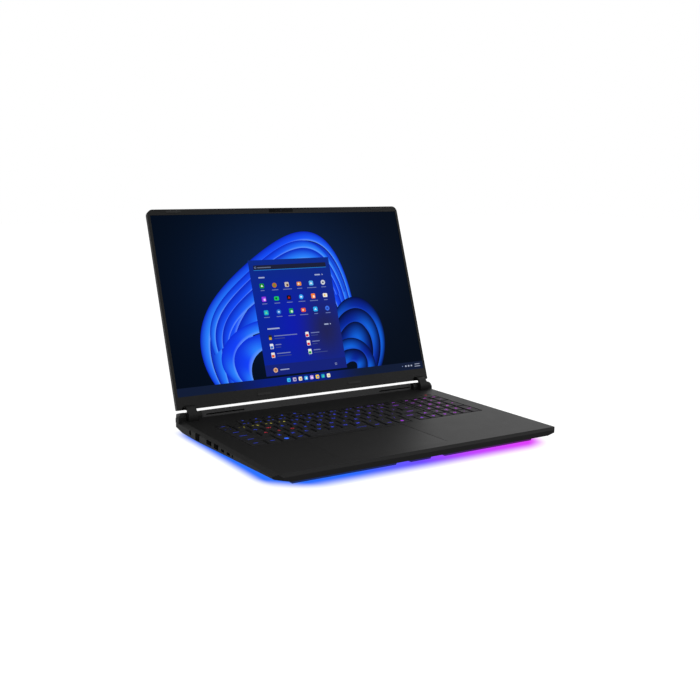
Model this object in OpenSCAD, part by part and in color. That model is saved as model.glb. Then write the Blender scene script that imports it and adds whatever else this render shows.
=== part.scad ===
// Large 18-inch-class laptop computer with a full-size keyboard and an under-lit base.
// Built lid open. X runs to the right of a person typing, Y runs away from them, Z is up.

/* [Display and lid] */
// Width of the lit picture area
screen_w = 387.7; // [380:0.1:390]
// Height of the lit picture area
screen_h = 242.3; // [238:0.1:243]
// Outer width of the lid
lid_w = 395; // [394:0.5:396]
// Bezel above the picture
bezel_top = 7.9; // [7.5:0.1:8.2]
// Bezel below the picture
bezel_chin = 16.4; // [16:0.1:16.5]
// Thickness of the closed lid
lid_t = 6.2; // [6:0.1:6.3]
// Opening angle of the lid as drawn, 0 is shut
lid_open = 109.4; // [95:0.1:125]

/* [Base] */
// Outer width of the base
base_w = 399; // [398.5:0.5:400]
// Width of the flat part of the deck
deck_w = 388.6; // [388:0.1:390]
// Deck height above the table
deck_z = 23.5; // [23.3:0.1:24]
// Front edge of the base, measured from the picture plane
front_y = -281.5; // [-282:0.1:-281]
// Rear edge of the exhaust tail
tail_y = 16; // [15:0.5:17]
// Height of the hinge block above the deck
block_h = 9; // [8.8:0.1:9.2]
// Wall of the base shells
wall = 1.8; // [1.6:0.1:2]

/* [Keys] */
// Pitch of the main keys, side to side
key_px = 18.67; // [18.5:0.01:18.7]
// Pitch of the main keys, front to back
key_py = 18.43; // [18.3:0.01:18.5]
// Gap between neighbouring key skirts
key_gap = 2.4; // [2.2:0.1:2.8]
// Travel of a key
key_travel = 1.7; // [1.2:0.1:1.7]

/* [Hinge] */
// Radius of the hinge pin
pin_r = 2.2; // [2:0.05:2.2]
// Radial running clearance of the pin
pin_clear = 0.05; // [0.03:0.01:0.08]
// Outer radius of the knuckle
knuckle_r = 14; // [13.8:0.1:14]

/* [Hidden] */
$fn = 48;
// hinge axis, and the picture's lower edge, in the section plane (y, z above the deck)
axis_y = -6.0;
axis_z = 3.43;
pic_z = 27.8;
// the same axis seen in lid coordinates (along the lid, out of the picture)
ax_v = -24.99;
ax_n = -2.43;
lid_a = 180 - lid_open;
hb = base_w / 2;
hd = deck_w / 2;
hl = lid_w / 2;
// place of the section origin in the finished frame
y_off = 96.2725;
bot = -20.7;          // underside plate
seam_f = -9.1;        // parting line at the front
seam_r = -12;         // parting line at the back
arm_x0 = 175.2;       // knuckle, inner and outer side
arm_x1 = 187.4;
sh_x0 = 166.6;        // inner side of the shoulder
ear_x = 168.2;         // inner ear of the bracket
pkt_x0 = 174;         // pocket that the knuckle turns in
pkt_x1 = 188.6;
pkt_r = 14.4;
port_z = -5.3;
fan_x = 138;
fan_y = -93;
fan_r = 34;

// ---------- helpers ----------
module seat() { translate([0, y_off, deck_z]) children(); }
module in_lid() { seat() translate([0, 0, pic_z]) rotate([lid_a, 0, 0]) children(); }
module box(a, b) { translate(a) cube([b[0] - a[0], b[1] - a[1], b[2] - a[2]]); }
module two_sides() { children(); mirror([1, 0, 0]) children(); }
// a section drawn in (y, z) and run along X from x0 to x1
module along_x(x0, x1) { translate([x0, 0, 0]) rotate([90, 0, 90]) linear_extrude(x1 - x0) children(); }
// a section drawn in (x, z) and run along Y from y0 to y1
module along_y(y0, y1) { translate([0, y1, 0]) rotate([90, 0, 0]) linear_extrude(y1 - y0) children(); }
module rod_x(x0, x1, y, z, r) { translate([x0, y, z]) rotate([0, 90, 0]) cylinder(r = r, h = x1 - x0); }
// flat outline with its own radius at the far and near corners
module outline(x0, y0, x1, y1, rn, rf) {
  union() {
    translate([x0 + rn, y0]) square([x1 - x0 - 2 * rn, rn]);
    translate([x0, y0 + rn]) square([x1 - x0, y1 - y0 - rn - rf]);
    translate([x0 + rf, y1 - rf]) square([x1 - x0 - 2 * rf, rf]);
    for (x = [x0 + rn, x1 - rn]) translate([x, y0 + rn]) circle(r = rn);
    for (x = [x0 + rf, x1 - rf]) translate([x, y1 - rf]) circle(r = rf);
  }
}
module slab(x0, y0, x1, y1, r, z0, z1) {
  translate([0, 0, z0]) linear_extrude(z1 - z0) outline(x0, y0, x1, y1, r, r);
}

// ---------- base envelope, t is how far inside the outer skin ----------
module env_plan(t) {
  polygon([[-hb + t, -5], [-hb + t, front_y + 8.6 + 0.4 * t], [-hb + 8.6 + 0.4 * t, front_y + t],
    [hb - 8.6 - 0.4 * t, front_y + t], [hb - t, front_y + 8.6 + 0.4 * t], [hb - t, -5],
    [190 - t, tail_y - t], [-190 + t, tail_y - t]]);
}
module env_side(t) {
  polygon([[front_y + 3.8 + 0.5 * t, -t], [front_y + t, -3 - 0.7 * t], [front_y + t, -9 + 0.7 * t],
    [-230 + 0.1 * t, bot + t], [-2 - 0.4 * t, bot + t], [tail_y - t, -13 + 0.5 * t], [tail_y - t, -t]]);
}
module env_front(t) {
  polygon([[-hd + 0.5 * t, -t], [-hb + t, -3 - 0.7 * t], [-hb + t, -12 + 0.7 * t], [-185 + 0.5 * t, bot + t],
    [185 - 0.5 * t, bot + t], [hb - t, -12 + 0.7 * t], [hb - t, -3 - 0.7 * t], [hd - 0.5 * t, -t]]);
}
module env_wedge(t, y, tilt, z0) {
  translate([0, y, z0 + t]) rotate([tilt, 0, 0]) along_y(-320, 320)
    polygon([[-hb - 1, 80], [hb + 1, 80], [hb + 1, 0.6], [100, -59.7], [-100, -59.7], [-hb - 1, 0.6]]);
}
module corner_cut(t) {
  translate([196, front_y, -5.2 + t]) rotate([0, 0, -34.5]) rotate([0, -16.7, 0])
    translate([-60, -60, -40]) cube([120, 120, 40]);
}
module env(t) {
  difference() {
    intersection() {
      translate([0, 0, -40]) linear_extrude(60) env_plan(t);
      along_x(-210, 210) env_side(t);
      along_y(-300, 30) env_front(t);
      env_wedge(t, -73, -1.979, -12);
      env_wedge(t, -26, 8.7, -12);
    }
    two_sides() corner_cut(t);
  }
}
module above_seam() {
  along_x(-210, 210) polygon([[-300, seam_f + 0.36], [-73, seam_r], [40, seam_r], [40, 30], [-300, 30]]);
}
module below_seam() {
  along_x(-210, 210) polygon([[-300, seam_f + 0.36], [-73, seam_r], [40, seam_r], [40, -40], [-300, -40]]);
}

// ---------- keys: [centre x, centre y, width, depth] ----------
row_y = [-81, -99.43, -117.86, -136.29, -154.72];
x_l = -170.75;
x_r = 104.9;
function run(x0, n, y) = [for (i = [0:n - 1]) [x0 + (i + 0.5) * key_px, y, key_px, key_py]];
function span(xa, xb, y) = [(xa + xb) / 2, y, xb - xa, key_py];
num_x = [117, 132.8, 148.6, 164.4];
K_number = concat(run(x_l, 13, row_y[0]), [span(x_l + 13 * key_px, x_r, row_y[0])]);
K_upper = concat([span(x_l, x_l + 1.5 * key_px, row_y[1])], run(x_l + 1.5 * key_px, 12, row_y[1]),
  [span(x_l + 13.5 * key_px, x_r, row_y[1])]);
K_home = concat([span(x_l, x_l + 1.75 * key_px, row_y[2])], run(x_l + 1.75 * key_px, 11, row_y[2]),
  [span(x_l + 12.75 * key_px, x_r, row_y[2])]);
K_lower = concat([span(x_l, x_l + 2.25 * key_px, row_y[3])], run(x_l + 2.25 * key_px, 10, row_y[3]),
  [span(x_l + 12.25 * key_px, 88.36, row_y[3])]);
K_mod = concat([span(x_l, x_l + 1.25 * key_px, row_y[4])], run(x_l + 1.25 * key_px, 3, row_y[4]),
  [for (i = [0:1]) [9.85 + i * key_px, row_y[4], key_px, key_py], span(37.85, 58, row_y[4])]);
K_space = [span(x_l + 4.25 * key_px, 0.5, row_y[4])];
K_arrow = [[97.7, row_y[3], key_px, key_py], [79, row_y[4], key_px, key_py],
  [97.7, row_y[4], key_px, key_py], [116.4, row_y[4], key_px, key_py]];
K_num = concat([for (x = num_x) [x, row_y[0], 15.8, key_py]],
  [for (r = [1, 2]) for (i = [0:2]) [num_x[i], row_y[r], 15.8, key_py]],
  [for (i = [0:2]) [num_x[i], row_y[3], 15.8, key_py]], [for (i = [1, 2]) [num_x[i], row_y[4], 15.8, key_py]],
  [[num_x[3], (row_y[1] + row_y[2]) / 2, 15.8, 2 * key_py], [num_x[3], (row_y[3] + row_y[4]) / 2, 15.8, 2 * key_py]]);
fr_y = -66;
fr_h = 11.5;
fr_p = 17.3;
K_func = concat([[x_l + 8.9, fr_y, 17.8, fr_h]],
  [for (g = [0:2]) for (i = [0:3]) [-129.9 + g * 76 + i * fr_p, fr_y, fr_p, fr_h]],
  [[94.9, fr_y, 20, fr_h]], [for (x = num_x) [x, fr_y, 15.8, fr_h]]);
K_hot = [for (i = [0:4]) [-127.5 + i * 18.9, -51, 18.2, 10.4]];
K_power = [[161.6, -50.4, 16.6, 10.4]];
K_main = concat(K_number, K_upper, K_home, K_lower, K_mod, K_space, K_arrow, K_num, K_func);
K_all = concat(K_main, K_hot, K_power);

// one hollow key cap: a skirt, a smaller raised top and a pocket below
module key_cap(k) {
  w = k[2] - key_gap;
  h = k[3] - key_gap;
  translate([k[0], k[1], 0]) difference() {
    union() {
      slab(-w / 2, -h / 2, w / 2, h / 2, 0.9, -2.2, -0.7);
      slab(-w / 2 + 0.55, -h / 2 + 0.45, w / 2 - 0.55, h / 2 - 0.65, 1.1, -0.8, 0.2);
    }
    translate([-w / 2 + 1.3, -h / 2 + 1.3, -3]) cube([w - 2.6, h - 2.6, 2.1]);
  }
}
module keys(list) { color([0.055, 0.055, 0.06]) seat() for (k = list) key_cap(k); }
module hot_keys() { keys(K_hot); }
module function_row() { keys(K_func); }
module power_button() { keys(K_power); }
module number_row() { keys(K_number); }
module upper_letter_row() { keys(K_upper); }
module home_letter_row() { keys(K_home); }
module lower_letter_row() { keys(K_lower); }
module modifier_keys() { keys(K_mod); }
module space_bar() { keys(K_space); }
module arrow_keys() { keys(K_arrow); }
module numpad_keys() { keys(K_num); }

// opening that one key drops through
module key_well(k, m) { translate([k[0] - k[2] / 2 - m, k[1] - k[3] / 2 - m]) square([k[2] + 2 * m, k[3] + 2 * m]); }

module keyboard_plate() {
  color([0.3, 0.3, 0.32]) seat() difference() {
    box([-174, -168, -5.2], [175.5, -44, -4]);
    for (x = [-150, -75, 0, 75, 150]) for (y = [-90.2, -127]) translate([x, y, -6]) cylinder(r = 1.2, h = 3);
  }
}
module key_domes() {
  color([0.7, 0.72, 0.75]) seat() for (k = K_all) translate([k[0], k[1], -4]) cylinder(r1 = 2.8, r2 = 1.7, h = 1.3, $fn = 24);
}

// ---------- base shells ----------
// [y, z, width along y, height] of each rectangular port on the left and right
P_lan = [-74.2, -6.6, 12.2, 8.2];
P_hdmi = [-109, port_z, 14.4, 4.8];
P_usb = [-129.5, port_z, 12.6, 5.2];
P_c1 = [-148, port_z, 9, 3.1];
P_c2 = [-163.7, port_z, 9, 3.1];
P_r1 = [-112, port_z, 12.6, 5.2];
P_r2 = [-136, port_z, 12.6, 5.2];
dc_y = -51.7;
dc_z = -6;
jack_y = -175;
jack_r = 1.75;
// rectangular way in, from x0 outside to x1 inside, on the left
module way(p, m, x0, x1) { box([x0, p[0] - p[2] / 2 - m, p[1] - p[3] / 2 - m], [x1, p[0] + p[2] / 2 + m, p[1] + p[3] / 2 + m]); }
module pill_way(p, m, x0, x1) {
  r = p[3] / 2 + m;
  w = p[2] / 2 + m - r;
  union() {
    for (s = [-w, w]) rod_x(x0, x1, p[0] + s, p[1], r);
    box([x0, p[0] - w, p[1] - r], [x1, p[0] + w, p[1] + r]);
  }
}
module housing(p, x1) {
  zb = p[3] > 4 ? -9.6 : -8;
  box([-hb + wall, p[0] - p[2] / 2 - 0.9, zb], [x1, p[0] + p[2] / 2 + 0.9, -2.1]);
  box([-191.5, p[0] - p[2] / 2 - 0.9, -9.6], [x1, p[0] + p[2] / 2 + 0.9, zb + 0.5]);
}
module lan_block() { box([-hb + wall, P_lan[0] - 7.5, -11.3], [-182.5, P_lan[0] + 7.5, -1.9]); }
module dc_block() { box([-hb + wall, dc_y - 5.6, -10.4], [-184, dc_y + 5.6, -1.9]); }
module jack_block() { box([-hb + wall, jack_y - 3.2, -8], [-185.4, jack_y + 3.2, -2.1]); box([-191.5, jack_y - 3.2, -9.6], [-185.4, jack_y + 3.2, -7.5]); }
module left_housings() { housing(P_hdmi, -184); housing(P_usb, -183.5); housing(P_c1, -189); housing(P_c2, -189); }
module right_housings() { mirror([1, 0, 0]) { housing(P_r1, -183.5); housing(P_r2, -183.5); } }

// rounded section of the shoulder that flanks each hinge
module shoulder_section() {
  polygon([[-13.9, -3.2], [-13.9, 4.4], [-13, 7], [-11.2, block_h], [-6.8, block_h], [-4, 8.19], [-4, -3.2]]);
}
module shoulder_front() { polygon([[sh_x0, -3.2], [hb, -3.2], [hb, 2.5], [196.3, block_h + 0.5], [sh_x0, block_h + 0.5]]); }
// room for the turning knuckle
module pocket() {
  rod_x(pkt_x0, pkt_x1, axis_y, axis_z, pkt_r);
  box([pkt_x0, -21.4, -1.4], [pkt_x1, axis_y, 30]);
  box([pkt_x0, axis_y, 2], [pkt_x1, 4.5, 30]);
}
module pocket_skin() {
  intersection() {
    union() { rod_x(172.3, 190.6, axis_y, axis_z, pkt_r + 1.2); box([172.3, -22.6, -2.6], [190.6, -10, 0]); }
    box([172, -23, -11.9], [191, -4, -0.4]);
  }
}
// slanted outer edge of the shoulder
module shoulder_cut() {
  two_sides() translate([196.8, -14, 8.4]) rotate([0, 0, 14]) rotate([0, 51.1, 0])
    translate([-60, -60, 0]) cube([120, 120, 40]);
}
// narrow hole for the outer ear of the bracket
module ear_slot() { for (x = [ear_x - 0.3, 189.5]) box([x, -10.6, -8.6], [x + 3.8, -3.9, 7.9]); rod_x(ear_x - 0.3, 193.6, axis_y, axis_z, 2.9); }

module screw_spots() {
  for (x = [-150, -120, 55, 100, 150]) translate([x, -189, 0]) children();
  for (x = [-150, -75, 0, 75, 150]) translate([x, -8, 0]) children();
}

module top_case() {
  color([0.07, 0.07, 0.075]) seat() difference() {
    union() {
      difference() {
        intersection() { env(0); above_seam(); }
        env(wall);
        box([-210, -4, -30], [210, 30, 5]);
      }
      // floor of the hinge pockets
      two_sides() pocket_skin();
      two_sides() intersection() { along_x(sh_x0, hb) shoulder_section(); along_y(-14, -4) shoulder_front(); }
      // screw posts
      intersection() { screw_spots() translate([0, 0, bot + wall]) cylinder(r = 3, h = 17.4); box([-200, -282, -40], [200, -4.01, -1]); }
      // touchpad stops
      for (x = [-112, 42]) box([x, -255, -3.2], [x + 2.5, -180, -1.7]);
    }
    translate([0, 0, -3]) linear_extrude(6) {
      for (k = K_main) key_well(k, 0.35);
      for (k = concat(K_hot, K_power)) key_well(k, -0.6);
    }
    slab(-105.4, -264.4, 37.9, -169.6, 2.4, -3, 3);
    shoulder_cut();
    two_sides() pocket();
    two_sides() ear_slot();
    screw_spots() translate([0, 0, -20]) cylinder(r = 1.3, h = 12);
    way(P_lan, 0.2, -203, -195);
    way(P_hdmi, 0.2, -203, -195);
    way(P_usb, 0.2, -203, -195);
    pill_way(P_c1, 0.15, -203, -195);
    pill_way(P_c2, 0.15, -203, -195);
    mirror([1, 0, 0]) { way(P_r1, 0.2, -203, -195); way(P_r2, 0.2, -203, -195); }
    rod_x(-203, -195, dc_y, dc_z, 3.3);
    rod_x(-203, -195, jack_y, port_z, jack_r);
    left_housings();
    right_housings();
    lan_block();
    dc_block();
    jack_block();
  }
}

// raised block between the hinges and the exhaust tail behind them
module cover_section() { polygon([[-6.8, 0], [-6.8, block_h - 0.6], [-6.2, block_h], [tail_y, 2.4], [tail_y, seam_r], [-4, seam_r], [-4, 0]]); }
module cover_hollow() { polygon([[-5.3, -1], [-5.3, 7.15], [tail_y - 1.6, 1], [tail_y - 1.6, seam_r - 1], [-5.3, seam_r - 1]]); }
module cover_plan(t) {
  union() {
    translate([-sh_x0 + 0.2 + t, -9]) square([2 * (sh_x0 - 0.2 - t), 12]);
    polygon([[-hb + 9.5 / 21 + t, -4], [-190 + t, tail_y], [190 - t, tail_y], [hb - 9.5 / 21 - t, -4]]);
  }
}
module rear_cover() {
  color([0.075, 0.075, 0.08]) seat() difference() {
    union() {
      difference() {
        intersection() {
          along_x(-hb, hb) cover_section();
          translate([0, 0, -20]) linear_extrude(60) cover_plan(0);
          along_y(-9, 30) polygon([[-hb, -20], [hb, -20], [hb, 2.5], [196.3, block_h + 0.5], [-196.3, block_h + 0.5], [-hb, 2.5]]);
          env_wedge(0, -26, 8.7, -12);
        }
        along_x(-170.4, 170.4) cover_hollow();
      }
      // catch lip along the foot of the block
      box([-166.3, -8, 0], [166.3, -6.7, 0.5]);
    }
    shoulder_cut();
    two_sides() pocket();
    two_sides() { for (x = [ear_x - 0.3, 189.5]) box([x, -4.5, -8.6], [x + 3.8, -1.4, 7.6]); rod_x(ear_x - 0.3, 193.6, axis_y, axis_z, 2.9); }
    // intake slots that face the keys
    box([-158.2, -9, 2], [-103.6, -5, 3.9]);
    box([111, -9, 2], [165.2, -5, 3.9]);
    // exhaust windows
    two_sides() for (i = [0:12]) box([92 + i * 6, 13, -10.4], [92 + i * 6 + 4.2, 20, -1.4]);
    for (i = [-6:6]) box([i * 9 - 3, 13, -8], [i * 9 + 3, 20, -5]);
  }
}

module skin_patch() { difference() { env(0); env(1.2); } }
module front_patch() { box([-176, -279.9, -16], [176, -268, seam_f - 0.2]); }
module side_patch() { two_sides() box([187.2, -225, -22], [196.6, -36, seam_f - 0.2]); }
module intake() { two_sides() for (i = [-6:6]) { w = sqrt(34 * 34 - (i * 5) * (i * 5)); box([fan_x - w, fan_y + i * 5 - 1.2, -23], [fan_x + w, fan_y + i * 5 + 1.2, -15]); } }
module ribs() {
  along_y(-262, -256) {
    polygon([[-174, -12], [-170, -18], [-35, -18], [-31, -12]]);
    polygon([[-18, -12], [-14, -18], [14, -18], [18, -12]]);
    polygon([[31, -12], [35, -18], [170, -18], [174, -12]]);
  }
}
module bottom_cover() {
  color([0.06, 0.06, 0.065]) seat() difference() {
    union() {
      difference() { intersection() { env(0); below_seam(); } env(wall); }
      difference() { ribs(); env(1); }
    }
    intersection() { skin_patch(); union() { front_patch(); side_patch(); } }
    intake();
    screw_spots() { translate([0, 0, -22]) cylinder(r = 1.4, h = 4); translate([0, 0, -22]) cylinder(r = 2.6, h = 2.3); }
    for (i = [-8:8]) for (j = [0:2]) box([i * 7 - 2, -70 + j * 9, -22], [i * 7 + 2, -66 + j * 9 + 1, -18]);
  }
}
module light_bar_front() { color([0.45, 0.35, 0.95]) seat() intersection() { skin_patch(); front_patch(); below_seam(); } }
module light_bar_sides() { color([0.25, 0.45, 1]) seat() intersection() { skin_patch(); side_patch(); below_seam(); } }
module bottom_screws() {
  color([0.2, 0.2, 0.21]) seat() screw_spots() difference() {
    union() { translate([0, 0, -20.5]) cylinder(r = 2.3, h = 0.8); translate([0, 0, -19.8]) cylinder(r = 1.15, h = 9.6); }
    translate([0, 0, -21]) cylinder(r = 1.1, h = 1, $fn = 6);
  }
}
module foot(x0, x1, y0, y1) { slab(x0, y0, x1, y1, 3.5, -deck_z, bot); }
module front_feet() { color([0.03, 0.03, 0.03]) seat() two_sides() foot(60, 150, -222, -212); }
module rear_feet() { color([0.03, 0.03, 0.03]) seat() two_sides() foot(60, 160, -36, -25); }

// ---------- inside the base ----------
module mainboard() {
  color([0.05, 0.16, 0.1]) seat() difference() {
    translate([0, 0, -10.8]) linear_extrude(1.2)
      polygon([[-190.5, -84], [-182, -84], [-182, -138], [-90, -138], [-90, -22], [90, -22], [90, -138], [182, -138],
        [182, -95], [190.5, -95], [190.5, -182], [-190.5, -182]]);
    for (x = [-84, 84]) for (y = [-30, -130]) translate([x, y, -12]) cylinder(r = 1.6, h = 4);
  }
}
module processor_chips() { color([0.35, 0.36, 0.38]) seat() { box([-72, -108, -12.4], [-28, -70, -10.8]); box([18, -112, -12.4], [68, -64, -10.8]); } }
module heat_spreader() { color([0.72, 0.45, 0.2]) seat() slab(-88, -118, 88, -26, 4, -15.4, -12.4); }
module heat_pipes() { color([0.78, 0.48, 0.25]) seat() for (y = [-47, -39.5, -32]) { rod_x(-164, 164, y, -16.9, 1.5); for (x = [-164, 164]) translate([x, y, -16.9]) sphere(r = 1.5); } }
module heatsink_fins() {
  color([0.75, 0.75, 0.77]) seat() two_sides() {
    union() { box([94, -50, -15.4], [166, -12, -14.9]); for (i = [0:23]) box([94.3 + i * 3, -50, -15], [94.9 + i * 3, -12, -9.2]); box([94, -50, -9.3], [166, -12, -8.9]); }
  }
}
module fan_housing() {
  difference() {
    union() {
      difference() {
        union() { translate([fan_x, fan_y, -18.4]) cylinder(r = 40, h = 10); box([fan_x - 40, fan_y, -18.4], [fan_x + 40, -52, -8.4]); }
        translate([fan_x, fan_y, -17.6]) cylinder(r = fan_r + 2.4, h = 8.4);
        box([fan_x - 36, fan_y, -17.6], [fan_x + 36, -51, -9.2]);
        translate([fan_x, fan_y, -19]) cylinder(r = 24, h = 12);
      }
      // three spokes and the pin that the rotor runs on
      for (a = [90, 210, 330]) translate([fan_x, fan_y, -18.4]) rotate([0, 0, a]) translate([0, -2, 0]) cube([27, 4, 0.8]);
      translate([fan_x, fan_y, -18.4]) cylinder(r = 8, h = 0.8);
      translate([fan_x, fan_y, -18]) cylinder(r = 1.5, h = 6.4);
    }
  }
}
module fan_rotor() {
  difference() {
    union() {
      translate([fan_x, fan_y, -17.2]) cylinder(r = 12, h = 7.4);
      for (i = [0:22]) translate([fan_x, fan_y, -16.8]) rotate([0, 0, i * 360 / 23]) translate([11, 0, 0]) rotate([0, 0, 24]) translate([0, -0.45, 0]) cube([21.4, 0.9, 6.6]);
    }
    translate([fan_x, fan_y, -19]) cylinder(r = 1.5 + pin_clear, h = 7.8);
  }
}
module fan_housing_left() { color([0.09, 0.09, 0.09]) seat() mirror([1, 0, 0]) fan_housing(); }
module fan_housing_right() { color([0.09, 0.09, 0.09]) seat() fan_housing(); }
module fan_rotor_left() { color([0.14, 0.14, 0.15]) seat() mirror([1, 0, 0]) fan_rotor(); }
module fan_rotor_right() { color([0.14, 0.14, 0.15]) seat() fan_rotor(); }
module battery_pack() { color([0.1, 0.1, 0.11]) seat() { slab(-128, -238, 128, -197, 2, -16.2, -5.4); box([-20, -197, -12], [20, -194, -8]); } }
module ssd_modules() { color([0.1, 0.2, 0.14]) seat() for (x = [-140, 60]) box([x, -178, -13.6], [x + 80, -156, -10.8]); }
module memory_modules() { color([0.12, 0.12, 0.13]) seat() for (y = [-150, -178]) box([-50, y, -14.6], [20, y + 26, -10.8]); }
module wifi_card() { color([0.1, 0.22, 0.2]) seat() box([26, -178, -13.2], [48, -148, -10.8]); }
module speakers() { color([0.08, 0.08, 0.08]) seat() two_sides() slab(134, -240, 166, -200, 3, -14, -6.4); }
module touchpad() { color([0.085, 0.085, 0.09]) seat() slab(-105, -264, 37.5, -170, 2, -1.5, -0.15); }
module touchpad_frame() {
  color([0.4, 0.4, 0.42]) seat() difference() {
    box([-109.4, -268, -3.4], [41.9, -166, -1.8]);
    box([-106.2, -265.2, -2.4], [38.7, -168.8, 0]);
    box([-90, -250, -4], [22, -182, 0]);
  }
}
module hollow_socket(p, x1, tongue) {
  difference() {
    housing(p, x1);
    way(p, 0, -203, x1 - 1.2);
  }
  if (tongue > 0) box([-194.6, p[0] - p[2] / 2 + 1.3, p[1] + p[3] / 2 - 2.7], [x1 - 1.1, p[0] + p[2] / 2 - 1.3, p[1] + p[3] / 2 - 2.7 + tongue]);
}
module dc_socket() {
  color([0.12, 0.12, 0.12]) seat() union() {
    difference() { dc_block(); rod_x(-203, -186, dc_y, dc_z, 3); }
    rod_x(-196.5, -185.5, dc_y, dc_z, 0.8);
  }
}
module lan_socket() { color([0.3, 0.3, 0.31]) seat() difference() { lan_block(); way(P_lan, 0, -203, -184.5); } }
module hdmi_socket() { color([0.55, 0.55, 0.56]) seat() hollow_socket(P_hdmi, -184, 1.1); }
module usb_a_socket_left() { color([0.6, 0.6, 0.62]) seat() hollow_socket(P_usb, -183.5, 1.7); }
module usb_c_sockets() {
  color([0.6, 0.6, 0.62]) seat() for (p = [P_c1, P_c2]) union() {
    difference() { housing(p, -189); pill_way(p, 0, -203, -190.2); }
    box([-196.4, p[0] - 3.2, p[1] - 0.35], [-190, p[0] + 3.2, p[1] + 0.35]);
  }
}
module audio_jack() { color([0.1, 0.1, 0.1]) seat() difference() { jack_block(); rod_x(-203, -186.6, jack_y, port_z, jack_r); } }
module usb_a_sockets_right() { color([0.6, 0.6, 0.62]) seat() mirror([1, 0, 0]) { hollow_socket(P_r1, -183.5, 1.7); hollow_socket(P_r2, -183.5, 1.7); } }

// ---------- hinges ----------
module bracket() {
  difference() {
    union() {
      for (x = [ear_x, 189.8]) {
        rod_x(x, x + 3.2, axis_y, axis_z, 4.2);
        box([x, axis_y - 4.2, -8.2], [x + 3.2, axis_y + 4.2, axis_z]);
      }
    }
    rod_x(160, 200, axis_y, axis_z, pin_r + pin_clear);
  }
}
module hinge_bracket_left() { color([0.5, 0.5, 0.52]) seat() mirror([1, 0, 0]) bracket(); }
module hinge_bracket_right() { color([0.5, 0.5, 0.52]) seat() bracket(); }
module pin() { rod_x(ear_x - 0.1, 193.2, axis_y, axis_z, pin_r); }
module hinge_pin_left() { color([0.6, 0.6, 0.62]) seat() mirror([1, 0, 0]) pin(); }
module hinge_pin_right() { color([0.6, 0.6, 0.62]) seat() pin(); }
// points given in the section of the base with the lid as drawn, turned into lid coordinates
a0 = 70.6;
function to_lid(p) = [p[0] * cos(a0) + (p[1] - pic_z) * sin(a0), -p[0] * sin(a0) + (p[1] - pic_z) * cos(a0)];
function unit2(d) = d / sqrt(d[0] * d[0] + d[1] * d[1]);
function side_of(p, i) = let(u = unit2(p[min(i + 1, len(p) - 1)] - p[max(i - 1, 0)])) [-u[1], u[0]];
function ribbon(p, w) = concat([for (i = [0:len(p) - 1]) p[i] + w * side_of(p, i)], [for (i = [len(p) - 1:-1:0]) p[i] - w * side_of(p, i)]);
steel = [for (p = [[-8, 3.9], [-13, 5.4], [-15.2, 8.8], [-14.9, 11.6], [-12.2, 13.7], [-6, 13.6], [-0.65, 12.7]]) to_lid(p)];
// steel leaf: an eye on the pin, a hooked blade through the neck, then flat between the panel and the cover
module arm_blade(m) {
  rod_x(178.6 - m, 184 + m, ax_v, ax_n, 4.4 + m);
  along_x(177 - m, 185.6 + m) polygon(ribbon(steel, 0.6 + m));
  box([177 - m, -14.5, -4.8 - m], [185.6 + m, -8, -3.8 + m]);
}
// open space under the lid and behind the neck
gap = [for (p = [[-12, 8.7], [-12.2, 12.7], [-5.5, 12.4], [0.3, 10.3], [3.2, 18.7], [18, 18.7], [18, 1.4], [-6.2, 8.7]]) to_lid(p)];
module arm() {
  difference() {
    union() { arm_blade(0); box([150, -9, -4.8], [190, 14, -3.8]); box([176, -9, -4.8], [190, 60, -3.8]); }
    rod_x(160, 200, ax_v, ax_n, pin_r + 0.02);
    for (y = [20, 50]) translate([183, y, -6]) cylinder(r = 1.4, h = 4);
  }
}
module hinge_arm_left() { color([0.45, 0.45, 0.47]) in_lid() mirror([1, 0, 0]) arm(); }
module hinge_arm_right() { color([0.45, 0.45, 0.47]) in_lid() arm(); }
module knuckle() {
  difference() {
    rod_x(arm_x0, arm_x1, ax_v, ax_n, knuckle_r);
    box([170, -13.9, -20], [192, 0, 0.08]);
    along_x(170, 192) polygon(gap);
    arm_blade(0.02);
    rod_x(160, 200, ax_v, ax_n, pin_r + 0.02);
  }
}
module hinge_knuckle_left() { color([0.06, 0.06, 0.065]) in_lid() mirror([1, 0, 0]) knuckle(); }
module hinge_knuckle_right() { color([0.06, 0.06, 0.065]) in_lid() knuckle(); }

// ---------- lid ----------
v0 = -bezel_chin;
v1 = screen_h + bezel_top;
module notch() { two_sides() box([172.6, v0 - 5, -10], [190, -13.4, 5]); }
module lid_cover() {
  color([0.07, 0.07, 0.075]) in_lid() difference() {
    translate([0, 0, -lid_t]) linear_extrude(lid_t - 0.8) outline(-hl, v0, hl, v1, 1.2, 8);
    translate([0, 0, -5]) linear_extrude(10) outline(-hl + 1.4, v0 + 1.4, hl - 1.4, v1 - 1.4, 0.8, 6.6);
    notch();
    // relief along the lower edge, clear of the deck block
    translate([0, v0, -lid_t]) rotate([45, 0, 0]) translate([-210, -0.8, -0.8]) cube([420, 1.6, 1.6]);
  }
}
module bezel_frame() {
  color([0.05, 0.05, 0.055]) in_lid() difference() {
    translate([0, 0, -0.8]) linear_extrude(0.8) outline(-hl, v0, hl, v1, 1.2, 8);
    box([-screen_w / 2, 0, -3], [screen_w / 2, screen_h, 3]);
    notch();
    slab(-19, screen_h + 1.6, 19, screen_h + 6.8, 1.2, -3, 3);
  }
}
module display_panel() { color([0.02, 0.04, 0.14]) in_lid() box([-194.8, -3.4, -3.5], [194.8, screen_h + 0.9, -0.8]); }
module camera_module() { color([0.1, 0.1, 0.1]) in_lid() { box([-17, screen_h + 1.8, -3.4], [17, screen_h + 6.2, -0.9]); } }
module camera_window() { color([0.01, 0.01, 0.012]) in_lid() slab(-19, screen_h + 1.6, 19, screen_h + 6.8, 1.2, -0.8, -0.05); }
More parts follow.
